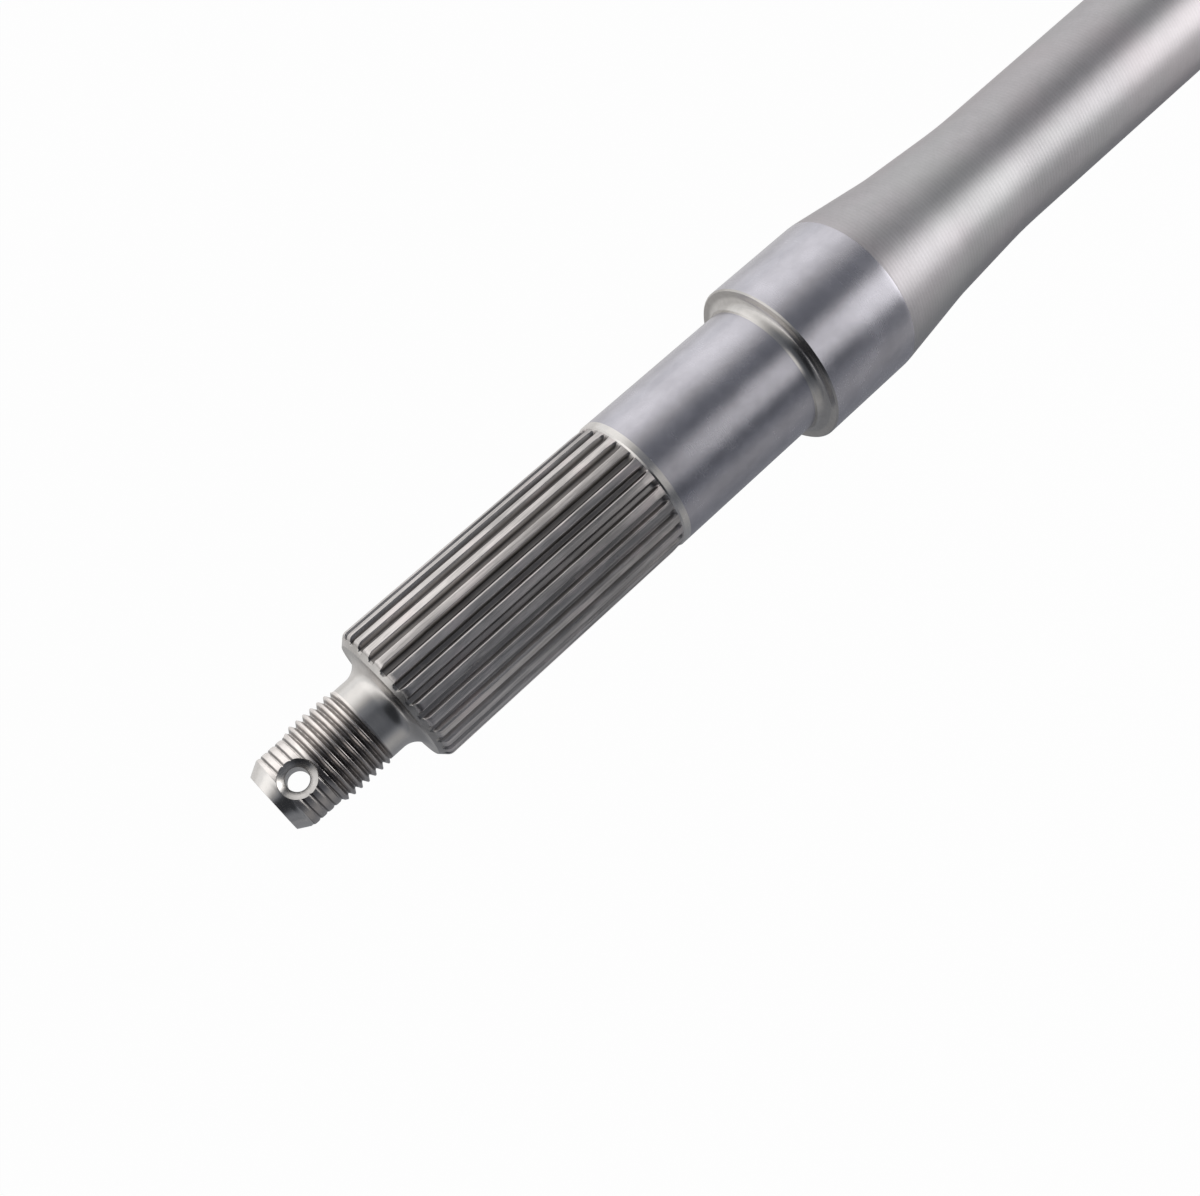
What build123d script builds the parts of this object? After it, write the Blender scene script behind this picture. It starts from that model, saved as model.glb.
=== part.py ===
"""A one-piece rear wheel axle of a light vehicle, in millimetres.

The axle lies along Y, with its middle at the origin. Both ends are alike: a threaded end
with a split-pin hole, a neck, a hub spline, a ground seat for the hub, a larger ground
collar for the bearing and a long taper down to the plain shaft between them.
"""

import os
from math import radians, sqrt, tan

from build123d import *

# Whole axle
overall_length = 820.0
shaft_diameter = 29.0

# Threaded end, from the end face inwards
end_face_diameter = 11.5
end_chamfer_angle = 30.0
pilot_diameter = 14.3
pilot_length = 8.2
thread_diameter = 15.85
thread_length = 10.7
thread_lead_angle = 30.0
thread_run_out_angle = 45.0

# Neck between the thread and the shoulder of the spline
neck_diameter = 15.0
neck_length = 6.3
neck_fillet_radius = 3.5

# Hub spline, module 1 on a nominal 28 mm
spline_outside_diameter = 27.8
spline_root_diameter = 25.6
spline_teeth = 26
spline_length = 57.6
spline_chamfer = 1.6
spline_corner_radius = 1.5
spline_groove_width = 1.8
spline_groove_root_width = 0.9
spline_end_drop = 0.2
spline_end_drop_length = 2.4

# Ground seat that the hub is centred on
hub_seat_diameter = 28.0
hub_seat_length = 37.1
hub_seat_fillet_radius = 2.0

# Ground collar that the bearing is pressed on
collar_diameter = 35.0
collar_length = 22.0
collar_front_chamfer = 0.3
collar_rear_radius = 12.0

# Taper behind the collar, in a steep and a slow cone
knee_diameter = 30.0
steep_taper_length = 19.2
waist_diameter = 27.2
slow_taper_length = 21.5
knee_radius = 60.0
waist_radius = 120.0

# The shaft grows slowly from the waist to its full diameter
shaft_growth_length = 135.0

# Split-pin hole through the threaded end, its mouths opened on both sides with a larger drill
pin_hole_diameter = 4.0
pin_hole_distance = 5.25
pin_hole_mouth_diameter = 6.6
pin_hole_mouth_angle = 118.0

# Centre hole that the axle was turned and ground on
centre_hole_diameter = 1.25
centre_hole_mouth_diameter = 3.2
centre_hole_depth = 2.6
centre_hole_angle = 60.0


def cone_length(small_diameter, large_diameter, angle):
    """Length along the axis of a cone between two diameters, by its angle to the axis."""
    return (large_diameter - small_diameter) / 2 / tan(radians(angle))


# Stations along the axle, from the end face to the middle
end_face = -overall_length / 2
pilot_start = end_face + cone_length(end_face_diameter, pilot_diameter, end_chamfer_angle)
pilot_end = end_face + pilot_length
thread_start = pilot_end + cone_length(pilot_diameter, thread_diameter, thread_lead_angle)
neck_start = pilot_end + thread_length
thread_end = neck_start - cone_length(neck_diameter, thread_diameter, thread_run_out_angle)
shoulder_face = neck_start + neck_length
spline_end = shoulder_face + spline_length
seat_start = spline_end + (hub_seat_diameter - spline_outside_diameter) / 2 + spline_end_drop
collar_face = spline_end + hub_seat_length
collar_end = collar_face + collar_length
knee = collar_end + steep_taper_length
waist = knee + slow_taper_length
shaft_start = waist + shaft_growth_length
pin_hole = end_face + pin_hole_distance

# Height above the axis at which the larger drill's edge meets the sides of the pilot
pin_mouth_edge = sqrt(pilot_diameter**2 - pin_hole_mouth_diameter**2) / 2

# Corners of the turned outline as radius, station and the radius that rounds the corner
outline = [
    (end_face_diameter / 2, end_face, 0),
    (pilot_diameter / 2, pilot_start, 0),
    (pilot_diameter / 2, pilot_end, 0),
    (thread_diameter / 2, thread_start, 0),
    (thread_diameter / 2, thread_end, 0),
    (neck_diameter / 2, neck_start, 0),
    (neck_diameter / 2, shoulder_face, neck_fillet_radius),
    (spline_outside_diameter / 2 - spline_chamfer, shoulder_face, 0),
    (spline_outside_diameter / 2, shoulder_face + spline_chamfer, spline_corner_radius),
    (spline_outside_diameter / 2, spline_end - spline_end_drop_length, 0),
    (spline_outside_diameter / 2 - spline_end_drop, spline_end, 0),
    (hub_seat_diameter / 2, seat_start, 0),
    (hub_seat_diameter / 2, collar_face, hub_seat_fillet_radius),
    (collar_diameter / 2 - collar_front_chamfer, collar_face, 0),
    (collar_diameter / 2, collar_face + collar_front_chamfer, 0),
    (collar_diameter / 2, collar_end, collar_rear_radius),
    (knee_diameter / 2, knee, knee_radius),
    (waist_diameter / 2, waist, waist_radius),
    (shaft_diameter / 2, shaft_start, 0),
]

with BuildPart() as axle:
    # The turned body, from one end face to the middle
    with BuildSketch(Plane.XY) as half_section:
        with BuildLine():
            corners = [(0, end_face)] + [(r, y) for r, y, _ in outline] + [(shaft_diameter / 2, 0)]
            contour = FilletPolyline(*corners, radius=[rounding for _, _, rounding in outline])
            Polyline(contour @ 1, (0, 0), contour @ 0)
        make_face()
    revolve(axis=Axis.Y)

    # Spline grooves, cut from the shoulder to the end of the spline, one of them in line with the pin hole
    groove_plane = Plane(origin=(0, spline_end, 0), x_dir=(0, 0, 1), z_dir=(0, -1, 0))
    with BuildSketch(groove_plane) as grooves:
        root = spline_root_diameter / 2
        depth = (spline_outside_diameter - spline_root_diameter) / 2
        widening = (spline_groove_width - spline_groove_root_width) / 2
        with PolarLocations(0, spline_teeth):
            Polygon(
                (root, -spline_groove_root_width / 2),
                (root + 2 * depth, -spline_groove_root_width / 2 - 2 * widening),
                (root + 2 * depth, spline_groove_root_width / 2 + 2 * widening),
                (root, spline_groove_root_width / 2),
            )
    extrude(amount=spline_length, mode=Mode.SUBTRACT)

    # Split-pin hole, drilled to the axis and opened at its mouth from each side in turn
    pin_side = Plane(origin=(0, pin_hole, pin_mouth_edge), z_dir=(0, 0, 1))
    pin_far_side = Plane(origin=(0, pin_hole, -pin_mouth_edge), z_dir=(0, 0, -1))
    for side in (pin_side, pin_far_side):
        with Locations(side):
            CounterSinkHole(
                radius=pin_hole_diameter / 2,
                counter_sink_radius=pin_hole_mouth_diameter / 2,
                counter_sink_angle=pin_hole_mouth_angle,
                depth=pin_mouth_edge,
            )

    # Centre hole in the end face
    with Locations(Plane(origin=(0, end_face, 0), z_dir=(0, -1, 0))):
        CounterSinkHole(
            radius=centre_hole_diameter / 2,
            counter_sink_radius=centre_hole_mouth_diameter / 2,
            counter_sink_angle=centre_hole_angle,
            depth=centre_hole_depth,
        )

    # The other half is the same, turned round
    mirror(about=Plane.XZ)

axle.part.label = "axle"

os.makedirs("parts", exist_ok=True)
export_step(axle.part, "parts/axle.step")
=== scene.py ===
import math

import bpy
import numpy as np
from bpy.props import FloatProperty, FloatVectorProperty, IntProperty, PointerProperty
from mathutils import Matrix, Vector


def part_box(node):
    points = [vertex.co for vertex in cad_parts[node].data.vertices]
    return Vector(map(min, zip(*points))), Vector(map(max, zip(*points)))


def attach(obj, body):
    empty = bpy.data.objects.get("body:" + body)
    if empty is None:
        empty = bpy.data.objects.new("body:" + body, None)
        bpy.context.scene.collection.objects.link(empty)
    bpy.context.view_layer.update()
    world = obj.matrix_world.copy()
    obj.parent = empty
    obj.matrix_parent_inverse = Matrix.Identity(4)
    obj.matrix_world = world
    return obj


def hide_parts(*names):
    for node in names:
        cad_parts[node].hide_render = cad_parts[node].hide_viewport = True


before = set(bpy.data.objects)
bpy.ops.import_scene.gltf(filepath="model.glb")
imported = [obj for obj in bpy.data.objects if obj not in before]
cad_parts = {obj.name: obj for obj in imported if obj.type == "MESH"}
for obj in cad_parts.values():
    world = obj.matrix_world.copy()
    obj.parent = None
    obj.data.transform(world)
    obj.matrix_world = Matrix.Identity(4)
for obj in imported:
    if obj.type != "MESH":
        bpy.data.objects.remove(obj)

bl_info = {
    "name": "Rear wheel axle",
    "version": (1, 0, 0),
    "blender": (4, 5, 0),
    "location": "3D View > Sidebar > Axle",
    "description": "Builds a one-piece rear wheel axle with threaded, splined and ground ends",
    "category": "Object",
}

CAD_NODE = "axle"
CAD_BODY = "root"
BOX_LOW, BOX_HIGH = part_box(CAD_NODE)
BOX_LENGTH = BOX_HIGH.y - BOX_LOW.y
BOX_WIDTH = min(BOX_HIGH.x, BOX_HIGH.z) * 2
MM = 0.001
MICRON = 0.000001
WIDTH_PIXELS = 1200
SENSOR_WIDTH = 36.0
THREAD_FLANK = math.radians(30)
CENTRE_HOLE_FLANK = math.radians(30)
SHARP_EDGE = math.radians(36)
WHITE = (1, 1, 1, 1)

# Columns of faces round the threaded end, the hub seat, and the collar and shaft
THREAD_COLUMNS = 176
SEAT_COLUMNS = 224
COLLAR_COLUMNS = 240

# Steps of the mesh along one pitch of the thread
THREAD_STEPS = 22

# The lands of the spline fall a little at their end, and the band behind them rises to the seat
SPLINE_DROP = 0.2 * MM
SPLINE_DROP_LENGTH = 2.4 * MM
BAND_RISE = 0.3 * MM

# A threaded end with fewer faces than this was lost when its pin hole was cut
FEWEST_FACES = 1000

# Where the grey screen and sheet begin and end along the axle
PANEL_ENDS = (BOX_LOW.y - 0.9, BOX_HIGH.y + 2.0)

# The sheet's left edge, and its height above the floor
SHEET_LEFT = -0.6
SHEET_LIFT = 3 * MM

# How strongly the room lights the axle, and how much of the floor is plain white to the camera
ROOM_LIGHT = 0.75
FLOOR_WHITENESS = 0.95

# The two ends of the axle, as the sign of their place along Y
ENDS = {"right": -1, "left": 1}


def length_of(name, description, millimetres):
    """A length of the axle, kept in metres and given here in millimetres."""
    metres = millimetres * MM
    return FloatProperty(name=name, description=description, default=metres, unit="LENGTH", precision=5)


def angle_of(name, description, degrees):
    """An angle, kept in radians and given here in degrees."""
    return FloatProperty(name=name, description=description, default=math.radians(degrees), subtype="ANGLE")


def number_of(name, description, value):
    """A plain number."""
    return FloatProperty(name=name, description=description, default=value)


def share_of(name, description, value):
    """A plain number from nought to one."""
    limits = {"min": 0.0, "max": 1.0, "subtype": "FACTOR"}
    return FloatProperty(name=name, description=description, default=value, **limits)


def colour_of(name, description, value):
    """A linear colour."""
    limits = {"min": 0.0, "max": 1.0, "size": 3, "subtype": "COLOR"}
    return FloatVectorProperty(name=name, description=description, default=value, **limits)


class AxleSizes(bpy.types.PropertyGroup):
    """Sizes of the axle, measured along it from an end face inwards."""

    overall_length: length_of("Overall length", "From one end face to the other", BOX_LENGTH / MM)
    shaft_diameter: length_of("Shaft diameter", "Plain shaft between the two ends", 29.0)
    end_face_diameter: length_of("End face diameter", "Flat end of the threaded stub", 11.5)
    pilot_start: length_of("Pilot start", "Where the end chamfer stops", 2.42)
    pilot_diameter: length_of("Pilot diameter", "Reduced part in front of the full thread", 14.4)
    pilot_end: length_of("Pilot end", "Where the thread starts to rise to its full height", 8.2)
    thread_start: length_of("Full thread start", "Where the crests have their full height", 9.54)
    thread_diameter: length_of("Thread diameter", "Over the crests", 15.85)
    thread_root_diameter: length_of("Thread root diameter", "At the bottom of the thread", 13.95)
    thread_pitch: length_of("Thread pitch", "Distance between two crests", 1.5)
    thread_offset: number_of("Thread offset", "Start of the helix as a share of a turn", -0.51)
    thread_end: length_of("Thread end", "Where the crests fall to the neck", 18.475)
    neck_start: length_of("Neck start", "Where the plain neck begins", 18.9)
    neck_diameter: length_of("Neck diameter", "Plain neck behind the thread", 15.0)
    neck_split: length_of("Neck split", "Where the neck joins the fillet of the shoulder", 21.6)
    neck_fillet_radius: length_of("Neck fillet radius", "Fillet between neck and shoulder", 3.5)
    shoulder: length_of("Shoulder", "Face in front of the spline", 25.2)
    spline_diameter: length_of("Spline diameter", "Over the lands", 27.8)
    spline_root_diameter: length_of("Spline root diameter", "At the bottom of the grooves", 25.6)
    spline_teeth: IntProperty(name="Spline teeth", description="Number of lands", default=26, min=3)
    spline_chamfer: length_of("Spline chamfer", "Chamfer at the front of the lands", 1.6)
    spline_corner_radius: length_of("Spline corner radius", "Rounding behind that chamfer", 1.5)
    spline_end: length_of("Spline end", "Where the grooves end", 82.8)
    groove_width: length_of("Groove width", "At the outside of the spline", 1.8)
    groove_root_width: length_of("Groove root width", "At the bottom of a groove", 0.9)
    band_end: length_of("Band end", "Where the unground band behind the spline ends", 84.4)
    seat_diameter: length_of("Seat diameter", "Ground seat of the hub", 28.0)
    seat_ground_end: length_of("Ground seat end", "Where the grinding wheel stopped", 117.6)
    seat_fillet_radius: length_of("Seat fillet radius", "Fillet between seat and collar", 2.0)
    collar_face: length_of("Collar face", "Face of the collar", 119.9)
    collar_chamfer: length_of("Collar chamfer", "Small chamfer round the face of the collar", 0.3)
    collar_diameter: length_of("Collar diameter", "Ground collar of the bearing", BOX_WIDTH / MM)
    collar_end: length_of("Collar end", "Where the collar meets the taper", 141.9)
    collar_rear_radius: length_of("Collar rear radius", "Rounding between collar and taper", 12.0)
    knee: length_of("Knee", "Where the steep taper turns into the slow one", 161.1)
    knee_diameter: length_of("Knee diameter", "Diameter there", 30.0)
    knee_radius: length_of("Knee radius", "Rounding there", 60.0)
    waist: length_of("Waist", "Narrowest place behind the tapers", 182.6)
    waist_diameter: length_of("Waist diameter", "Diameter there", 27.2)
    waist_radius: length_of("Waist radius", "Rounding there", 120.0)
    shaft_start: length_of("Shaft start", "Where the shaft reaches its full diameter", 317.6)
    pin_hole: length_of("Pin hole", "From the end face to the middle of the split-pin hole", 5.25)
    pin_hole_diameter: length_of("Pin hole diameter", "Split-pin hole", 4.0)
    pin_mouth_diameter: length_of("Pin hole mouth", "Larger drill that opened the hole's mouths", 6.6)
    pin_mouth_angle: angle_of("Pin hole mouth angle", "Full angle of that drill's point", 118.0)
    centre_mouth_diameter: length_of("Centre hole mouth", "Centre hole at the end face", 3.2)
    centre_hole_diameter: length_of("Centre hole diameter", "Drilled part of the centre hole", 1.25)
    centre_hole_depth: length_of("Centre hole depth", "From the end face", 2.6)


class AxleFinishes(bpy.types.PropertyGroup):
    """Colours and gloss of the steel as each process left it, and the colour of the painted shade."""

    ground_colour: colour_of("Ground steel", "Ground seat and collar", (0.53, 0.522, 0.57))
    ground_roughness: share_of("Ground roughness", "Ground seat and collar", 0.23)
    turned_colour: colour_of("Turned steel", "Taper and shaft", (0.452, 0.44, 0.456))
    turned_roughness: share_of("Turned roughness", "Taper and shaft", 0.42)
    faced_colour: colour_of("Faced steel", "Fillets, faces, neck and end chamfer", (0.74, 0.72, 0.7))
    faced_roughness: share_of("Faced roughness", "Fillets, faces, neck and end chamfer", 0.2)
    thread_colour: colour_of("Threaded steel", "Thread", (0.92, 0.875, 0.85))
    thread_roughness: share_of("Thread roughness", "Thread", 0.22)
    spline_colour: colour_of("Splined steel", "Lands and grooves", (0.74, 0.71, 0.695))
    spline_roughness: share_of("Spline roughness", "Lands and grooves", 0.26)
    # The dark colour of the painted shade in the thread's roots and flanks, the spline's grooves and the
    # corners of the faced steel
    painted_shade_colour: colour_of("Oil film", "Dark film left in roots and corners", (0.1, 0.094, 0.09))


class AxleStage(bpy.types.PropertyGroup):
    """Floor, light and camera."""

    floor_colour: colour_of("Floor", "Pale floor", (0.9, 0.9, 0.9))
    floor_drop: length_of("Floor drop", "From the middle of the axle down to the floor", 280.0)
    floor_size: length_of("Floor size", "Side of the floor", 24000.0)
    lamp_angle: angle_of("Lamp angle", "Round the axle from straight up", 21.0)
    lamp_tilt: angle_of("Lamp tilt", "Along the axle from straight up", 47.0)
    lamp_distance: length_of("Lamp distance", "From the collar to the lamp", 800.0)
    lamp_width: length_of("Lamp width", "Across the axle", 330.0)
    lamp_length: length_of("Lamp length", "Along the axle", 520.0)
    lamp_radiance: number_of("Lamp radiance", "Brightness of the lamp's face", 1.5)
    screen_radius: length_of("Screen radius", "From the axle to the grey screen above it", 600.0)
    screen_edge: angle_of("Screen edge", "Where the screen begins, round the axle from the camera", -97.0)
    camera_round: angle_of("Camera round", "Round the axle from straight up", 3.7)
    camera_along: length_of("Camera along", "From the end face inwards", 2.59)
    camera_height: length_of("Camera height", "Above the middle of the axle", 241.15)
    camera_tilt: angle_of("Camera tilt", "From straight down towards the far end", 17.346)
    camera_turn: angle_of("Camera turn", "Sideways", 2.572)
    camera_roll: angle_of("Camera roll", "Turn of the picture", 41.5)
    camera_focal_pixels: number_of("Focal length", "In pixels of the photograph", 1387.8)
    camera_offset: number_of("Picture offset", "In pixels along the axle", 70.0)


# Meshes


def added(name, data):
    """A new object in the scene."""
    thing = bpy.data.objects.new(name, data)
    bpy.context.scene.collection.objects.link(thing)
    return thing


def rounded_line(corners, facet=4.0):
    """A line of (station, radius) points with rounded corners.

    Each corner is station, radius and the radius that rounds it. facet is the angle of each short
    run round a corner, in degrees."""
    points = []
    for i, (station, radius, rounding) in enumerate(corners):
        here = Vector((station, radius))
        if rounding <= 0:
            points.append((station, radius))
            continue
        before = (Vector(corners[i - 1][:2]) - here).normalized()
        after = (Vector(corners[i + 1][:2]) - here).normalized()
        turn = math.pi - before.angle(after)
        reach = rounding * math.tan(turn / 2)
        middle = here + (before + after).normalized() * (rounding / math.cos(turn / 2))
        first = here + before * reach - middle
        last = here + after * reach - middle
        start = math.atan2(first.y, first.x)
        sweep = (math.atan2(last.y, last.x) - start + math.pi) % (2 * math.pi) - math.pi
        steps = max(3, math.ceil(abs(sweep) / math.radians(facet)))
        for step in range(steps + 1):
            a = start + sweep * step / steps
            points.append((middle.x + rounding * math.cos(a), middle.y + rounding * math.sin(a)))
    return points


def cut_line(points, start, end):
    """The part of a line of (station, radius) points between two stations, with a point at each."""
    stations, radii = zip(*points)
    ends = [(s, float(np.interp(s, stations, radii))) for s in (start, end)]
    margin = 0.001 * MM
    return [ends[0]] + [p for p in points if start + margin < p[0] < end - margin] + [ends[1]]


def finer_line(points, longest_at):
    """The line with its long runs divided, so that no run is longer than longest_at(station)."""
    fine = [points[0]]
    for (s0, r0), (s1, r1) in zip(points, points[1:]):
        longest = longest_at((s0 + s1) / 2)
        steps = max(1, math.ceil(math.hypot(s1 - s0, r1 - r0) / longest - 1e-6))
        fine += [(s0 + (s1 - s0) * k / steps, r0 + (r1 - r0) * k / steps) for k in range(1, steps + 1)]
    return fine


def turned_outline(sizes):
    """The outline of one end, from the fillet behind the neck to the middle of the shaft."""
    half = sizes.overall_length / 2
    return rounded_line([
        (sizes.neck_split - 0.4 * MM, sizes.neck_diameter / 2, 0),
        (sizes.shoulder, sizes.neck_diameter / 2, sizes.neck_fillet_radius),
        (sizes.shoulder, sizes.spline_diameter / 2 - sizes.spline_chamfer, 0),
        (sizes.shoulder + sizes.spline_chamfer, sizes.spline_diameter / 2, sizes.spline_corner_radius),
        (sizes.spline_end - SPLINE_DROP_LENGTH, sizes.spline_diameter / 2, 0),
        (sizes.spline_end, sizes.spline_diameter / 2 - SPLINE_DROP, 0),
        (sizes.spline_end + BAND_RISE, sizes.seat_diameter / 2, 0),
        (sizes.collar_face, sizes.seat_diameter / 2, sizes.seat_fillet_radius),
        (sizes.collar_face, sizes.collar_diameter / 2 - sizes.collar_chamfer, 0),
        (sizes.collar_face + sizes.collar_chamfer, sizes.collar_diameter / 2, 0),
        (sizes.collar_end, sizes.collar_diameter / 2, sizes.collar_rear_radius),
        (sizes.knee, sizes.knee_diameter / 2, sizes.knee_radius),
        (sizes.waist, sizes.waist_diameter / 2, sizes.waist_radius),
        (sizes.shaft_start, sizes.shaft_diameter / 2, 0),
        (half, sizes.shaft_diameter / 2, 0),
    ])


def smooth_step(x):
    """Goes from nought to one without corners."""
    x = np.clip(x, 0, 1)
    return x * x * (3 - 2 * x)


def first_finish(station):
    """Every face has the first finish."""
    return 0


def revolved(name, rings, angles, end, finishes, slot_of):
    """A closed mesh from rings of (station, radius or radii) about Y. end is the sign of the axle's end.

    finishes are names, and slot_of gives a face row's place in them from its middle station."""
    half = sizes_of().overall_length / 2
    columns = len(angles)
    stations = np.array([np.broadcast_to(s, columns) for s, _ in rings])
    radii = np.array([np.broadcast_to(r, columns) for _, r in rings])
    x = radii * np.sin(angles)
    z = radii * np.cos(angles)
    y = end * (half - stations)
    points = np.stack([x, y, z], -1).reshape(-1, 3)
    first_pole = len(points)
    points = np.vstack([points, [[0, y[0].mean(), 0]], [[0, y[-1].mean(), 0]]])
    row, column = np.meshgrid(np.arange(len(rings) - 1), np.arange(columns), indexing="ij")
    after = (column + 1) % columns
    quads = np.stack([
        row * columns + column,
        row * columns + after,
        (row + 1) * columns + after,
        (row + 1) * columns + column,
    ], -1).reshape(-1, 4)
    around = np.arange(columns)
    beside = (around + 1) % columns
    last = (len(rings) - 1) * columns
    caps = [
        np.stack([beside, around, np.full(columns, first_pole)], -1),
        np.stack([last + around, last + beside, np.full(columns, first_pole + 1)], -1),
    ]
    if end > 0:
        quads = quads[:, ::-1]
        caps = [c[:, ::-1] for c in caps]
    faces = quads.tolist() + np.vstack(caps).tolist()
    mesh = bpy.data.meshes.new(name)
    mesh.from_pydata(points.tolist(), [], faces)
    for finish in finishes:
        mesh.materials.append(finish_named(finish))
    middles = (stations[:-1].mean(1) + stations[1:].mean(1)) / 2
    slots = np.zeros(len(faces), np.int32)
    slots[:len(quads)] = np.repeat([slot_of(station) for station in middles], columns)
    mesh.polygons.foreach_set("material_index", slots)
    mesh.update()
    return mesh


def finish_piece(name, mesh):
    """Makes the mesh a smooth piece, hides the CAD axle in its place and puts the piece on the CAD axle's
    body.
    """
    mesh.shade_smooth()
    mesh.set_sharp_from_angle(angle=SHARP_EDGE)
    piece = added(name, mesh)
    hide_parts(CAD_NODE)
    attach(piece, CAD_BODY)


def make_both(name, rings, angles, finishes, slot_of=first_finish):
    """Makes the same revolved piece at each end."""
    for side, end in ENDS.items():
        piece_name = name + "_" + side
        finish_piece(piece_name, revolved(piece_name, rings, angles, end, finishes, slot_of))


def even_angles(columns):
    """Angles round the axle from straight up."""
    return np.arange(columns) * 2 * math.pi / columns


def groove_angles(sizes):
    """Angles that follow the corners of every spline groove, and each one's radius there."""
    outside = sizes.spline_diameter / 2
    root = sizes.spline_root_diameter / 2
    pitch = 2 * math.pi / sizes.spline_teeth
    half_root = sizes.groove_root_width / 2
    half_mouth = sizes.groove_width / 2

    def half_groove(edge_radius):
        """One half of a groove as (angle from its middle, radius), with rounded root and land corners."""
        profile = rounded_line([
            (0.0, root, 0),
            (half_root, root, 0.3 * MM),
            (half_mouth, outside, edge_radius),
            (half_mouth + 0.5 * MM, outside, 0),
        ], facet=12.0)
        line = [(math.asin(across / radius), radius) for across, radius in profile]
        land_edge = line[-1][0]
        return line + [(land_edge + (pitch / 2 - land_edge) * k / 3, outside) for k in (1, 2)]

    sharper = half_groove(0.2 * MM)
    rounder = half_groove(0.55 * MM)
    angles = []
    radii = []
    for tooth in range(sizes.spline_teeth):
        middle = tooth * pitch
        for a, r in [(-a, r) for a, r in reversed(sharper[1:])] + rounder:
            angles.append(middle + a)
            radii.append(r)
        angles.append(middle + pitch / 2)
        radii.append(outside)
    return np.array(angles), np.array(radii)


def thread_radius(sizes, stations, angles, end):
    """Radius of the right-hand thread at each station and angle, before the turned outline cuts it down."""
    half = sizes.overall_length / 2
    along = end * (half - stations)
    turn = along / sizes.thread_pitch - angles / (2 * math.pi) + sizes.thread_offset
    phase = np.abs((turn % 1.0) - 0.5) * 2
    # phase is nought at the middle of a groove and one at the middle of a crest
    across = phase * sizes.thread_pitch / 2
    flat_root = 0.14 * MM
    depth = (across - flat_root / 2) / math.tan(THREAD_FLANK)
    soft = 0.16 * MM
    depth = (depth + np.sqrt(depth * depth + soft * soft)) / 2
    return sizes.thread_root_diameter / 2 + depth


def soft_minimum(a, b, soft):
    """The lesser of two heights, with the corner between them rounded."""
    return (a + b - np.sqrt((a - b) ** 2 + soft * soft)) / 2


def pin_cutter(sizes, end):
    """The pin hole's shape through the axle with its opened mouths, to be cut from it."""
    half = sizes.overall_length / 2
    bore = sizes.pin_hole_diameter / 2
    mouth = sizes.pin_mouth_diameter / 2
    surface = sizes.pilot_diameter / 2
    edge = math.sqrt(surface ** 2 - mouth ** 2)
    bottom = edge - (mouth - bore) / math.tan(sizes.pin_mouth_angle / 2)
    flare = 0.12 * MM
    beyond = 1.6 * MM
    wider = 0.55 * MM
    # Height and radius of the widened mouth on one side, its cone and the bore
    heights = [
        (-surface - beyond, mouth + wider),
        (-surface, mouth + flare),
        (-edge, mouth - 0.02 * MM),
        (-bottom - 0.05 * MM, bore + flare),
        (-bottom + 0.1 * MM, bore),
    ]
    heights += [(-h, r) for h, r in reversed(heights)]
    columns = 96
    around = even_angles(columns)
    points = []
    for h, r in heights:
        points += [(r * math.cos(a), end * (half - sizes.pin_hole) + r * math.sin(a), h) for a in around]
    faces = []
    for k in range(len(heights) - 1):
        for c in range(columns):
            d = (c + 1) % columns
            faces.append((k * columns + c, k * columns + d, (k + 1) * columns + d, (k + 1) * columns + c))
    faces.append(tuple(reversed(range(columns))))
    faces.append(tuple((len(heights) - 1) * columns + c for c in range(columns)))
    mesh = bpy.data.meshes.new("pin_cutter")
    mesh.from_pydata(points, [], faces)
    mesh.update()
    return added("pin_cutter", mesh)


def cut_away(mesh, cutter, finish):
    """The mesh with the cutter's shape cut from it, its new walls in the given finish."""
    cutter.data.materials.append(finish_named(finish))
    block = added("block", mesh)
    modifier = block.modifiers.new("cut", "BOOLEAN")
    modifier.object = cutter
    modifier.operation = "DIFFERENCE"
    modifier.solver = "EXACT"
    modifier.material_mode = "TRANSFER"
    bpy.context.view_layer.update()
    graph = bpy.context.evaluated_depsgraph_get()
    cut = bpy.data.meshes.new_from_object(block.evaluated_get(graph), depsgraph=graph)
    cut.name = mesh.name
    bpy.data.objects.remove(block)
    bpy.data.meshes.remove(mesh)
    bpy.data.meshes.remove(cutter.data)
    if len(cut.polygons) < FEWEST_FACES:
        raise RuntimeError("the pin hole could not be cut")
    return cut


# Finishes


class Signal:
    """A socket's value in a finish, with arithmetic that adds Math nodes."""

    def __init__(self, finish, socket):
        self.finish = finish
        self.socket = socket

    def maths(self, operation, *others, flip=False):
        """The result of one Math node on this value and the others."""
        values = list(others) + [self] if flip else [self] + list(others)
        made = self.finish.add("ShaderNodeMath", {"operation": operation}, values)
        return made.value()

    def __add__(self, other):
        return self.maths("ADD", other)

    def __radd__(self, other):
        return self.maths("ADD", other, flip=True)

    def __sub__(self, other):
        return self.maths("SUBTRACT", other)

    def __rsub__(self, other):
        return self.maths("SUBTRACT", other, flip=True)

    def __mul__(self, other):
        return self.maths("MULTIPLY", other)

    def __rmul__(self, other):
        return self.maths("MULTIPLY", other, flip=True)

    def __truediv__(self, other):
        return self.maths("DIVIDE", other)

    def __pow__(self, other):
        return self.maths("POWER", other)

    def __abs__(self):
        return self.maths("ABSOLUTE")

    def least(self, other):
        """The lesser of this value and another."""
        return self.maths("MINIMUM", other)

    def most(self, other):
        """The greater of this value and another."""
        return self.maths("MAXIMUM", other)

    def sine(self):
        """The sine of this value in radians."""
        return self.maths("SINE")

    def fraction(self):
        """The part of this value after the point."""
        return self.maths("FRACT")

    def rise(self, low, high):
        """A smooth step from nought at low to one at high."""
        made = self.finish.add(
            "ShaderNodeMapRange",
            {"interpolation_type": "SMOOTHSTEP"},
            {"Value": self, "From Min": low, "From Max": high, "To Min": 0.0, "To Max": 1.0},
        )
        return made.value("Result")


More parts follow.
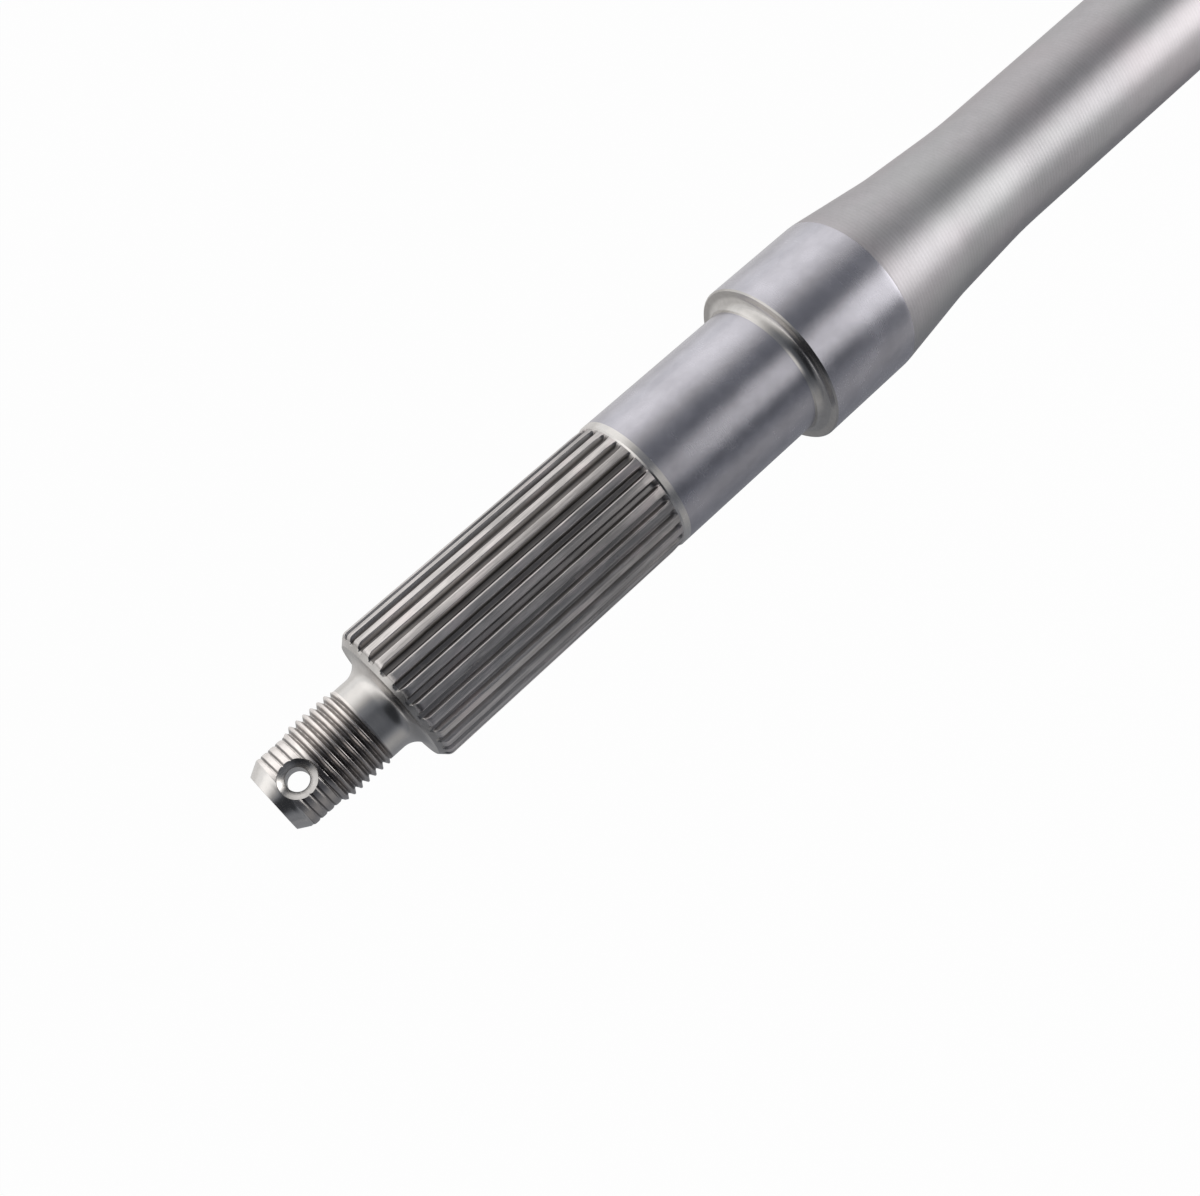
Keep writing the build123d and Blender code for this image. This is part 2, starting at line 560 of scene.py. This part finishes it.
class Added:
    """A node that was added, whose outputs can be taken as values."""

    def __init__(self, finish, node):
        self.finish = finish
        self.node = node

    def value(self, name=0):
        """One output of the node."""
        return Signal(self.finish, self.node.outputs[name])


class Finish:
    """A material's or the world's nodes."""

    def __init__(self, tree):
        self.tree = tree
        tree.nodes.clear()

    def add(self, kind, settings=None, values=None):
        """A node of a kind. Its settings are set first, then the values or links of its sockets."""
        node = self.tree.nodes.new(kind)
        for name, setting in (settings or {}).items():
            setattr(node, name, setting)
        pairs = values.items() if isinstance(values, dict) else enumerate(values or [])
        for name, value in pairs:
            if isinstance(value, Signal):
                self.tree.links.new(value.socket, node.inputs[name])
            else:
                node.inputs[name].default_value = value
        return Added(self, node)

    def place(self):
        """The place on the axle in metres, and its x, y and z."""
        made = self.add("ShaderNodeTexCoord").value("Object")
        split = self.add("ShaderNodeSeparateXYZ", values=[made])
        return made, split.value("X"), split.value("Y"), split.value("Z")

    def angle_round(self, x, z):
        """The angle round the axle from straight up, in radians."""
        return self.add("ShaderNodeMath", {"operation": "ARCTAN2"}, [x, z]).value()

    def stretched(self, place, x, y, z):
        """The place with each direction scaled."""
        return self.add("ShaderNodeVectorMath", {"operation": "MULTIPLY"}, [place, (x, y, z)]).value()

    def cloud(self, place, scale, detail, roughness):
        """Soft noise round one half. scale is in patches per metre."""
        settings = {"noise_dimensions": "3D"}
        values = {"Vector": place, "Scale": scale, "Detail": detail, "Roughness": roughness}
        return self.add("ShaderNodeTexNoise", settings, values).value(0)

    def lines(self, along, scale, detail):
        """Noise round one half that changes along one value only. scale is in lines per metre."""
        settings = {"noise_dimensions": "1D"}
        values = {"W": along, "Scale": scale, "Detail": detail}
        return self.add("ShaderNodeTexNoise", settings, values).value(0)

    def blend(self, share, first, second):
        """A colour between two, by a share."""
        settings = {"data_type": "RGBA", "clamp_factor": True}
        # The node's colours are its inputs 6 and 7 and its output 2
        values = {0: share, 6: first, 7: second}
        return self.add("ShaderNodeMix", settings, values).value(2)

    def steel(self, colour, roughness, height, relief):
        """Bare steel as the material's surface. relief is the depth of a height of one, in metres."""
        values = {"Height": height, "Distance": relief, "Strength": 1.0}
        normal = self.add("ShaderNodeBump", values=values).value("Normal")
        values = {"Base Color": colour, "Roughness": roughness, "Metallic": 1.0, "Normal": normal}
        surface = self.add("ShaderNodeBsdfPrincipled", values=values).value("BSDF")
        self.add("ShaderNodeOutputMaterial", values={"Surface": surface})


def new_finish(name):
    """An empty material and its nodes."""
    material = bpy.data.materials.new(name)
    material.use_nodes = True
    return material, Finish(material.node_tree)


def tone(colour, factor):
    """A colour made lighter or darker, as four numbers."""
    return tuple(min(1.0, c * factor) for c in colour) + (1.0,)


def tinted(colour, red, green, blue):
    """A colour with each part made stronger or weaker, as four numbers."""
    return (colour[0] * red, colour[1] * green, colour[2] * blue, 1.0)


def distance(a, b):
    """The straight distance to a place that lies a one way and b across."""
    return (a * a + b * b) ** 0.5


def station_at(y):
    """The distance from the nearer end face."""
    return sizes_of().overall_length / 2 - abs(y)


def ground_steel(f, looks):
    """Ground steel: fine lines round the axle, cloudy patches and a violet tint."""
    place, _, y, _ = f.place()
    clouds = f.cloud(place, 95.0, 3.0, 0.55)
    patches = f.cloud(f.stretched(place, 1.0, 0.6, 1.0), 420.0, 4.0, 0.6)
    grind = f.lines(y, 5200.0, 3.0)
    fine = f.lines(y + patches * 0.0004, 14000.0, 2.0)
    shade = clouds.rise(0.3, 0.7) * 0.55 + patches.rise(0.35, 0.65) * 0.25 + grind * 0.2
    colour = f.blend(shade, tone(looks.ground_colour, 0.86), tone(looks.ground_colour, 1.13))
    roughness = looks.ground_roughness - 0.06 + clouds * 0.1 + grind * 0.03 + patches * 0.05
    height = fine * 0.55 + grind * 0.2 + patches * 0.25
    f.steel(colour, roughness, height, 2.2 * MICRON)


def turned_steel(f, looks):
    """Turned steel: feed lines round the axle and a faint pink and green bloom along it."""
    place, x, y, _ = f.place()
    wander = f.cloud(place, 60.0, 2.0, 0.5)
    mark_spacing = 0.85 * MM
    drift = (wander + x * 40.0) * 9.0
    feed = (y * (2 * math.pi / mark_spacing) + drift).sine() * 0.5 + 0.5
    uneven = f.lines(y, 2600.0, 3.0)
    clouds = f.cloud(f.stretched(place, 1.0, 0.5, 1.0), 55.0, 3.0, 0.5)
    patches = f.cloud(place, 360.0, 4.0, 0.6)
    bloom = f.cloud(f.stretched(place, 1.0, 0.8, 1.0), 30.0, 2.0, 0.5).rise(0.42, 0.62)
    grain = f.cloud(f.stretched(place, 1.0, 1.6, 1.0), 1900.0, 3.0, 0.65)
    shade = clouds.rise(0.3, 0.7) * 0.15 + patches.rise(0.35, 0.65) * 0.2 + grain.rise(0.3, 0.7) * 0.4
    shade = shade + uneven * 0.1 + feed * 0.15
    plain = f.blend(shade, tone(looks.turned_colour, 0.87), tone(looks.turned_colour, 1.13))
    pink = tinted(looks.turned_colour, 1.07, 0.98, 0.99)
    green = tinted(looks.turned_colour, 0.97, 1.04, 0.99)
    colour = f.blend(bloom * 0.35, plain, pink)
    colour = f.blend((1.0 - bloom) * clouds.rise(0.45, 0.65) * 0.35, colour, green)
    roughness = looks.turned_roughness - 0.05 + uneven * 0.05 + grain * 0.08
    height = feed * 0.35 + uneven * 0.25 + grain * 0.4
    f.steel(colour, roughness, height, 18 * MICRON)


def faced_steel(f, looks):
    """Bright turned steel of the fillets, faces, neck and end chamfer, with painted shade in the corners at
    the shoulder and the collar fillet.
    """
    sizes = sizes_of()
    place, x, y, z = f.place()
    station = station_at(y)
    rings = f.lines(distance(x, z) + y, 5200.0, 3.0)
    clouds = f.cloud(place, 160.0, 3.0, 0.55)
    patches = f.cloud(place, 700.0, 4.0, 0.6)
    shade = clouds.rise(0.3, 0.7) * 0.5 + rings * 0.3 + patches * 0.2
    bright = f.blend(shade, tone(looks.faced_colour, 0.9), tone(looks.faced_colour, 1.06))
    # Painted shade in the corner at the shoulder and in the collar's fillet, blended towards the dark shade
    # colour
    shoulder = station.rise(sizes.shoulder - 2.4 * MM, sizes.shoulder - 0.3 * MM)
    shoulder = shoulder * (1.0 - station.rise(sizes.shoulder + 2 * MM, sizes.shoulder + 4 * MM))
    collar = station.rise(sizes.seat_ground_end, sizes.collar_face - 0.5 * MM)
    painted_corner_shade = shoulder * 0.45 + collar * 0.35
    colour = f.blend(painted_corner_shade + (patches - 0.5) * 0.3, bright, tone(looks.painted_shade_colour, 1.6))
    roughness = looks.faced_roughness - 0.03 + clouds * 0.06 + rings * 0.04
    height = rings * 0.6 + patches * 0.4
    f.steel(colour, roughness, height, 3.5 * MICRON)


def threaded_steel(f, looks):
    """Cut thread: scratches along the cut, and painted shade on the roots, on the flank that faces the
    right end and on the side towards +X.
    """
    sizes = sizes_of()
    place, x, y, z = f.place()
    clouds = f.cloud(place, 260.0, 3.0, 0.55)
    scratches = f.cloud(f.stretched(place, 1.0, 7.0, 1.0), 900.0, 3.0, 0.6)
    round_axle = f.angle_round(x, z)
    # Nought and one on a crest, one half in the root, and then the side that faces the right end
    turn = (y / sizes.thread_pitch - round_axle / (2 * math.pi) + sizes.thread_offset).fraction()
    wander = turn + (clouds - 0.5) * 0.12 + (scratches - 0.5) * 0.1
    # Painted shade: a dark band from the root up the flank that faces the right end, and over the side from
    # straight up round to +X
    painted_thread_shade = wander.rise(0.46, 0.58) * (1.0 - wander.rise(0.68, 0.84)) * 0.9
    dark_side = round_axle.rise(-0.35, 0.1) * (1.0 - round_axle.rise(2.0, 2.8))
    painted_thread_shade = painted_thread_shade.most(dark_side * (0.3 + clouds * 0.4))
    shade = clouds.rise(0.3, 0.7) * 0.6 + scratches * 0.4
    bare = f.blend(shade, tone(looks.thread_colour, 0.88), tone(looks.thread_colour, 1.08))
    colour = f.blend(painted_thread_shade, bare, tone(looks.painted_shade_colour, 1.0))
    roughness = looks.thread_roughness - 0.02 + clouds * 0.06 + scratches * 0.05
    f.steel(colour, roughness, scratches, 6 * MICRON)


def splined_steel(f, looks):
    """Rolled spline: streaks along the lands, small dents and painted shade in the grooves."""
    sizes = sizes_of()
    place, x, y, z = f.place()
    station = station_at(y)
    root = sizes.spline_root_diameter / 2
    # Nought at the bottom of a groove and one on a land
    depth = (distance(x, z) - root) / (sizes.spline_diameter / 2 - root)
    streaks = f.cloud(f.stretched(place, 1.0, 0.05, 1.0), 2600.0, 3.0, 0.6)
    patches = f.cloud(f.stretched(place, 1.0, 0.35, 1.0), 300.0, 4.0, 0.6)
    clouds = f.cloud(place, 85.0, 2.0, 0.5)
    dents = f.cloud(f.stretched(place, 1.0, 0.4, 1.0), 900.0, 3.0, 0.6).rise(0.62, 0.74)
    # Painted shade in the bottoms of the grooves, weaker on the +X half of the axle
    painted_shade_film = (1.0 - depth.rise(0.15, 0.9)) * (0.75 + patches.rise(0.3, 0.7) * 0.2)
    painted_shade_film = painted_shade_film * (1.0 - f.angle_round(x, z).rise(-0.3, 0.4) * 0.55)
    shade = streaks.rise(0.3, 0.7) * 0.45 + patches.rise(0.3, 0.7) * 0.35 + clouds * 0.2
    shade = shade - station.rise(sizes.shoulder + 8 * MM, sizes.spline_end - 10 * MM) * 0.35
    bare = f.blend(shade, tone(looks.spline_colour, 0.6), tone(looks.spline_colour, 1.25))
    warm = tinted(looks.spline_colour, 1.02, 0.93, 0.95)
    bare = f.blend(patches.rise(0.5, 0.68) * 0.4, bare, warm)
    colour = f.blend(painted_shade_film, bare, tone(looks.painted_shade_colour, 1.2))
    roughness = looks.spline_roughness - 0.03 + streaks * 0.08 + patches * 0.05 + dents * 0.1
    height = streaks * 0.5 + patches * 0.4 - dents * 0.5
    f.steel(colour, roughness, height, 26 * MICRON)


def drilled_steel(f, looks):
    """Drilled walls of the split-pin hole and its mouths: rings round the drill's axis."""
    place, x, y, z = f.place()
    from_drill = distance(x, station_at(y) - sizes_of().pin_hole)
    rings = f.lines(from_drill + abs(z), 6000.0, 2.0)
    clouds = f.cloud(place, 500.0, 3.0, 0.55)
    shade = rings * 0.5 + clouds.rise(0.3, 0.7) * 0.5
    colour = f.blend(shade, tone(looks.faced_colour, 0.62), tone(looks.faced_colour, 0.92))
    roughness = looks.faced_roughness + 0.02 + clouds * 0.08
    f.steel(colour, roughness, rings, 4 * MICRON)


MAKERS = {maker.__name__: maker for maker in (
    ground_steel, turned_steel, faced_steel, threaded_steel, splined_steel, drilled_steel,
)}


def finish_named(name):
    """The finish of a name, made when it is first asked for."""
    material = bpy.data.materials.get(name)
    if material is None:
        material, f = new_finish(name)
        MAKERS[name](f, finishes_of())
    return material


def sizes_of():
    """The sizes in the scene."""
    return bpy.context.scene.axle_sizes


def finishes_of():
    """The finishes in the scene."""
    return bpy.context.scene.axle_finishes


def stage_of():
    """The stage's settings in the scene."""
    return bpy.context.scene.axle_stage


# Operators


class AXLE_OT_threaded_ends(bpy.types.Operator):
    """Make both threaded ends with their split-pin and centre holes"""

    bl_idname = "axle.threaded_ends"
    bl_label = "Threaded Ends"

    def execute(self, context):
        sizes = sizes_of()
        mouth = sizes.centre_mouth_diameter / 2
        drilled = sizes.centre_hole_diameter / 2
        cone = (mouth - drilled) / math.tan(CENTRE_HOLE_FLANK)
        front = rounded_line([
            (sizes.centre_hole_depth, drilled, 0),
            (cone, drilled, 0),
            (0.0, mouth, 0),
            (0.0, sizes.end_face_diameter / 2, 0.12 * MM),
            (sizes.pilot_start, sizes.pilot_diameter / 2, 0.15 * MM),
            (sizes.pilot_end, sizes.pilot_diameter / 2, 0),
            (sizes.thread_start, sizes.thread_diameter / 2, 0),
            (sizes.thread_end, sizes.thread_diameter / 2, 0),
            (sizes.neck_start, sizes.neck_diameter / 2, 0),
            (sizes.neck_split, sizes.neck_diameter / 2, 0),
        ])

        def longest(station):
            in_thread = sizes.pilot_start < station < sizes.neck_start + 0.6 * MM
            return sizes.thread_pitch / THREAD_STEPS if in_thread else 0.4 * MM

        def slot_of(station):
            return 0 if sizes.pilot_start + 0.1 * MM < station < sizes.neck_start + 0.2 * MM else 1

        line = finer_line(front, longest)
        angles = even_angles(THREAD_COLUMNS)
        finishes = ("threaded_steel", "faced_steel", "drilled_steel")
        for side, end in ENDS.items():
            rings = []
            for station, radius in line:
                # The chamfer and the centre hole have no thread
                if station < sizes.pilot_start - 0.4 * MM or radius < mouth:
                    rings.append((station, radius))
                    continue
                # Over the neck the cut rises clear of the outline
                rise = smooth_step((station - sizes.neck_start + 0.3 * MM) / (0.7 * MM)) * 2 * MM
                cut = thread_radius(sizes, station, angles, end) + rise
                soft = (0.14 if station > sizes.pilot_end else 0.2) * MM
                rings.append((station, soft_minimum(cut, radius, soft)))
            mesh = revolved("threaded_end_" + side, rings, angles, end, finishes, slot_of)
            mesh = cut_away(mesh, pin_cutter(sizes, end), "drilled_steel")
            finish_piece("threaded_end_" + side, mesh)
        return {"FINISHED"}


class AXLE_OT_hub_splines(bpy.types.Operator):
    """Make both hub splines with the fillet and shoulder in front of them"""

    bl_idname = "axle.hub_splines"
    bl_label = "Hub Splines"

    def execute(self, context):
        sizes = sizes_of()
        line = cut_line(turned_outline(sizes), sizes.neck_split, sizes.band_end)
        # The longest run that the outline may have up to each station
        runs = (
            (sizes.shoulder - 0.05 * MM, 0.6 * MM),
            (sizes.shoulder + 3.5 * MM, 0.16 * MM),
            (sizes.spline_end - SPLINE_DROP_LENGTH, 5.0 * MM),
            (sizes.spline_end - 0.9 * MM, 0.4 * MM),
            (sizes.band_end, 0.13 * MM),
        )
        line = finer_line(line, lambda station: next(run for until, run in runs if station < until))

        def slot_of(station):
            return 0 if sizes.shoulder + 1.0 * MM < station < sizes.spline_end - 0.05 * MM else 1

        angles, groove = groove_angles(sizes)
        ungrooved = sizes.spline_root_diameter / 2 - 0.3 * MM
        run_out_start = sizes.spline_end - 1.0 * MM
        run_out_length = 0.85 * MM
        run_out_height = 1.5 * MM
        rings = []
        for station, radius in line:
            if station < sizes.shoulder - 0.02 * MM or radius < ungrooved:
                rings.append((station, radius))
                continue
            run_out = np.clip((station - run_out_start) / run_out_length, 0, 1)
            lift = (1 - np.sqrt(1 - run_out ** 2)) * run_out_height
            rings.append((station, soft_minimum(groove + lift, radius, 0.03 * MM)))
        make_both("hub_spline", rings, angles, ("splined_steel", "faced_steel"), slot_of)
        return {"FINISHED"}


class AXLE_OT_hub_seats(bpy.types.Operator):
    """Make both ground hub seats with the fillet and face of the collar"""

    bl_idname = "axle.hub_seats"
    bl_label = "Hub Seats"

    def execute(self, context):
        sizes = sizes_of()
        end_of_seat = sizes.collar_face + sizes.collar_chamfer
        line = cut_line(turned_outline(sizes), sizes.band_end, end_of_seat)
        line.insert(1, (sizes.seat_ground_end, sizes.seat_diameter / 2))
        line = finer_line(line, lambda station: 1.6 * MM if station < sizes.seat_ground_end else 0.5 * MM)
        angles = even_angles(SEAT_COLUMNS)

        def slot_of(station):
            return 0 if station < sizes.seat_ground_end else 1

        make_both("hub_seat", line, angles, ("ground_steel", "faced_steel"), slot_of)
        return {"FINISHED"}


class AXLE_OT_bearing_collars(bpy.types.Operator):
    """Make both ground bearing collars"""

    bl_idname = "axle.bearing_collars"
    bl_label = "Bearing Collars"

    def execute(self, context):
        sizes = sizes_of()
        start = sizes.collar_face + sizes.collar_chamfer
        line = cut_line(turned_outline(sizes), start, sizes.collar_end)
        line = finer_line(line, lambda station: 1.2 * MM)
        make_both("bearing_collar", line, even_angles(COLLAR_COLUMNS), ["ground_steel"])
        return {"FINISHED"}


class AXLE_OT_tapered_shaft(bpy.types.Operator):
    """Make the turned shaft with a taper up to the collar at each end"""

    bl_idname = "axle.tapered_shaft"
    bl_label = "Tapered Shaft"

    def execute(self, context):
        sizes = sizes_of()
        half = sizes.overall_length / 2
        line = cut_line(turned_outline(sizes), sizes.collar_end, half)
        line = finer_line(line, lambda station: 2.5 * MM if station < sizes.shaft_start else 8 * MM)
        whole = line + [(sizes.overall_length - s, r) for s, r in reversed(line[:-1])]
        angles = even_angles(COLLAR_COLUMNS)
        mesh = revolved("tapered_shaft", whole, angles, -1, ["turned_steel"], first_finish)
        finish_piece("tapered_shaft", mesh)
        return {"FINISHED"}


def direction_round(angle, tilt):
    """A direction from the axle: angle round it from straight up, tilt along it."""
    return Vector((math.sin(angle) * math.cos(tilt), math.sin(tilt), math.cos(angle) * math.cos(tilt)))


def white_to_eye(f):
    """One for rays that show the background: from the camera, in gloss and through glass."""
    path = f.add("ShaderNodeLightPath")
    seen = path.value("Is Camera Ray") + path.value("Is Glossy Ray") + path.value("Is Transmission Ray")
    return seen.least(1.0)


class AXLE_OT_stage(bpy.types.Operator):
    """Make the floor, the light and the camera"""

    bl_idname = "axle.stage"
    bl_label = "Stage"

    def execute(self, context):
        stage = stage_of()
        sizes = sizes_of()
        self.make_floor(stage)
        self.make_world()
        self.make_screen(stage)
        self.make_floor_shade_sheet(stage)
        self.make_lamp(stage, sizes)
        self.make_camera(stage, sizes)
        context.scene.view_settings.view_transform = "Standard"
        return {"FINISHED"}

    def make_floor(self, stage):
        side = stage.floor_size / 2
        low = -stage.floor_drop
        corners = [(-side, -side, low), (side, -side, low), (side, side, low), (-side, side, low)]
        mesh = bpy.data.meshes.new("floor")
        mesh.from_pydata(corners, [], [(0, 1, 2, 3)])
        floor = added("floor", mesh)
        material, f = new_finish("floor_paper")
        matt = f.add("ShaderNodeBsdfDiffuse", values={"Color": tone(stage.floor_colour, 1.0)}).value()
        white = f.add("ShaderNodeEmission", values={"Color": WHITE, "Strength": 1.0}).value()
        whiteness = white_to_eye(f) * FLOOR_WHITENESS
        mixed = f.add("ShaderNodeMixShader", values=[whiteness, matt, white]).value()
        f.add("ShaderNodeOutputMaterial", values={"Surface": mixed})
        mesh.materials.append(material)

    def make_world(self):
        world = bpy.data.worlds.new("studio")
        world.use_nodes = True
        bpy.context.scene.world = world
        f = Finish(world.node_tree)
        soft = f.add("ShaderNodeBackground", values={"Color": WHITE, "Strength": ROOM_LIGHT}).value()
        white = f.add("ShaderNodeBackground", values={"Color": WHITE, "Strength": 1.0}).value()
        mixed = f.add("ShaderNodeMixShader", values=[white_to_eye(f), soft, white]).value()
        f.add("ShaderNodeOutputWorld", values={"Surface": mixed})

    def make_screen(self, stage):
        """A grey screen round the axle, with a soft bright patch, which shows only in the steel."""
        radius = stage.screen_radius
        last = math.pi / 2 + math.asin((stage.floor_drop - SHEET_LIFT) / radius) - stage.camera_round
        steps = 48
        points = []
        for k in range(steps + 1):
            a = stage.screen_edge + (last - stage.screen_edge) * k / steps
            points += [(radius * math.sin(a), y, radius * math.cos(a)) for y in PANEL_ENDS]
        faces = [(k, k + 1, k + 3, k + 2) for k in range(0, len(points) - 2, 2)]
        middle = len(points)
        points.append((0, PANEL_ENDS[0], 0))
        faces += [(middle, k, k + 2) for k in range(0, middle - 2, 2)]
        screen, f = self.make_gloss_panel("grey_screen", points, faces)
        screen.rotation_euler.y = stage.camera_round
        _, x, y, z = f.place()
        angle = f.angle_round(x, z)

        def step(low, high, signal=angle):
            """A smooth step between two angles in degrees."""
            return signal.rise(math.radians(low), math.radians(high))

        # Light on the left, dark overhead and grey on the right
        base = 1.14 - 0.94 * step(-76, -23) - 0.1 * step(-25, 0)
        base = base + 0.27 * step(52, 92) - 0.15 * step(96, 130)
        # Out beyond the end face, the light side is lighter and the rest darker
        before = 1.0 - y.rise(-0.9, -0.5)
        base = base + before * (0.16 - 0.3 * step(-40, 30))
        # The patch overhead grows brighter and wider along the axle, and the screen beside it lightens
        along = y.rise(-0.36, 0.4)
        far = y.rise(0.05, 0.4)
        patch = step(-10, 16) * (1.0 - step(28, 52, angle - far * 0.3))
        beside = step(20, 50) * (1.0 - step(90, 150))
        self.glow(f, base.most(0.03) + patch * (along * 1.5 + far * 1.2) + beside * far * 0.55)

    def make_floor_shade_sheet(self, stage):
        """A grey sheet on the floor under the axle, which shows only in the steel as painted shade of the
        floor.
        """
        height = SHEET_LIFT - stage.floor_drop
        radius = stage.screen_radius
        edges = (SHEET_LEFT, math.sqrt(radius ** 2 - height ** 2))
        points = [(x, y, height) for x in edges for y in PANEL_ENDS]
        _, f = self.make_gloss_panel("floor_shade_sheet", points, [(0, 1, 3, 2)])
        _, x, _, _ = f.place()
        # Painted floor shade seen in the steel: lightest far to the left, dark to the right of the axle, a
        # little lighter again far to the right
        left = 0.76 + 0.24 * (1.0 - x.rise(SHEET_LEFT, -0.35))
        self.glow(f, left - 0.5 * x.rise(-0.17, 0.06) + 0.07 * x.rise(0.33, 0.53))

    def make_gloss_panel(self, name, points, faces):
        """A panel that is seen only in gloss, and its material's nodes."""
        mesh = bpy.data.meshes.new(name)
        mesh.from_pydata(points, [], faces)
        panel = added(name, mesh)
        panel.visible_camera = False
        panel.visible_diffuse = False
        panel.visible_shadow = False
        panel.visible_transmission = False
        material, f = new_finish(name)
        material.cycles.emission_sampling = "NONE"
        mesh.materials.append(material)
        return panel, f

    def glow(self, f, strength):
        """A glow whose strength changes over a panel, grey where it is light and bluish where dark."""
        tint = f.blend(strength.rise(0.08, 0.45), (0.94, 1.0, 1.13, 1.0), (1.01, 1.0, 0.99, 1.0))
        scale = {"operation": "SCALE"}
        colour = f.add("ShaderNodeVectorMath", scale, {0: tint, "Scale": strength}).value()
        light = f.add("ShaderNodeEmission", values={"Color": colour, "Strength": 1.0}).value()
        f.add("ShaderNodeOutputMaterial", values={"Surface": light})

    def make_lamp(self, stage, sizes):
        data = bpy.data.lights.new("soft_lamp", "AREA")
        data.shape = "RECTANGLE"
        data.size = stage.lamp_width
        data.size_y = stage.lamp_length
        data.energy = stage.lamp_radiance * math.pi * stage.lamp_width * stage.lamp_length
        lamp = added("soft_lamp", data)
        aim = Vector((0, -sizes.overall_length / 2 + sizes.collar_face, 0))
        away = direction_round(stage.lamp_angle, stage.lamp_tilt)
        across = Vector((math.cos(stage.lamp_angle), 0, -math.sin(stage.lamp_angle)))
        turn = Matrix((across, away.cross(across), away)).transposed().to_4x4()
        lamp.matrix_world = Matrix.Translation(aim + away * stage.lamp_distance) @ turn
        lamp.visible_camera = False
        lamp.visible_glossy = False

    def make_camera(self, stage, sizes):
        data = bpy.data.cameras.new("camera")
        data.sensor_width = SENSOR_WIDTH
        data.lens = stage.camera_focal_pixels / WIDTH_PIXELS * SENSOR_WIDTH
        offset = stage.camera_offset / WIDTH_PIXELS
        data.shift_x = -offset * math.cos(stage.camera_roll)
        data.shift_y = -offset * math.sin(stage.camera_roll)
        data.clip_start = 0.01
        data.clip_end = 50.0
        camera = added("camera", data)
        tilt, turn, roll = stage.camera_tilt, stage.camera_turn, stage.camera_roll
        along = Vector((0, math.cos(tilt), math.sin(tilt)))
        down = Vector((0, math.sin(tilt), -math.cos(tilt)))
        sideways = Vector((1, 0, 0))
        forward = down * math.cos(turn) + sideways * math.sin(turn)
        beside = sideways * math.cos(turn) - down * math.sin(turn)
        right = along * math.cos(roll) + beside * math.sin(roll)
        upward = along * math.sin(roll) - beside * math.cos(roll)
        turned = Matrix((right, upward, -forward)).transposed().to_4x4()
        place = Vector((0, -sizes.overall_length / 2 + stage.camera_along, stage.camera_height))
        round_axle = Matrix.Rotation(stage.camera_round, 4, "Y")
        camera.matrix_world = round_axle @ Matrix.Translation(place) @ turned
        bpy.context.scene.camera = camera


class AXLE_PT_panel(bpy.types.Panel):
    """The axle's pieces, sizes and finishes in the sidebar"""

    bl_idname = "AXLE_PT_panel"
    bl_label = "Rear Wheel Axle"
    bl_space_type = "VIEW_3D"
    bl_region_type = "UI"
    bl_category = "Axle"

    def draw(self, context):
        layout = self.layout
        for operator in PIECE_OPERATORS + [AXLE_OT_stage]:
            layout.operator(operator.bl_idname)
        for title, group in (
            ("Sizes", context.scene.axle_sizes),
            ("Finishes", context.scene.axle_finishes),
            ("Stage", context.scene.axle_stage),
        ):
            box = layout.box()
            box.label(text=title)
            for name in group.__annotations__:
                box.prop(group, name)


PROPERTY_GROUPS = [AxleSizes, AxleFinishes, AxleStage]
PIECE_OPERATORS = [
    AXLE_OT_threaded_ends,
    AXLE_OT_hub_splines,
    AXLE_OT_hub_seats,
    AXLE_OT_bearing_collars,
    AXLE_OT_tapered_shaft,
]


def register():
    """Registers the classes and gives the scene its settings."""
    for group in PROPERTY_GROUPS + PIECE_OPERATORS + [AXLE_OT_stage, AXLE_PT_panel]:
        bpy.utils.register_class(group)
    bpy.types.Scene.axle_sizes = PointerProperty(type=AxleSizes)
    bpy.types.Scene.axle_finishes = PointerProperty(type=AxleFinishes)
    bpy.types.Scene.axle_stage = PointerProperty(type=AxleStage)


def unregister():
    """Takes the settings from the scene and the classes away."""
    del bpy.types.Scene.axle_stage
    del bpy.types.Scene.axle_finishes
    del bpy.types.Scene.axle_sizes
    for group in reversed(PROPERTY_GROUPS + PIECE_OPERATORS + [AXLE_OT_stage, AXLE_PT_panel]):
        bpy.utils.unregister_class(group)


def main():
    """Makes every piece and the stage in order."""
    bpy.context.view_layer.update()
    register()
    bpy.ops.axle.threaded_ends()
    bpy.ops.axle.hub_splines()
    bpy.ops.axle.hub_seats()
    bpy.ops.axle.bearing_collars()
    bpy.ops.axle.tapered_shaft()
    bpy.ops.axle.stage()


if __name__ == "__main__":
    main()
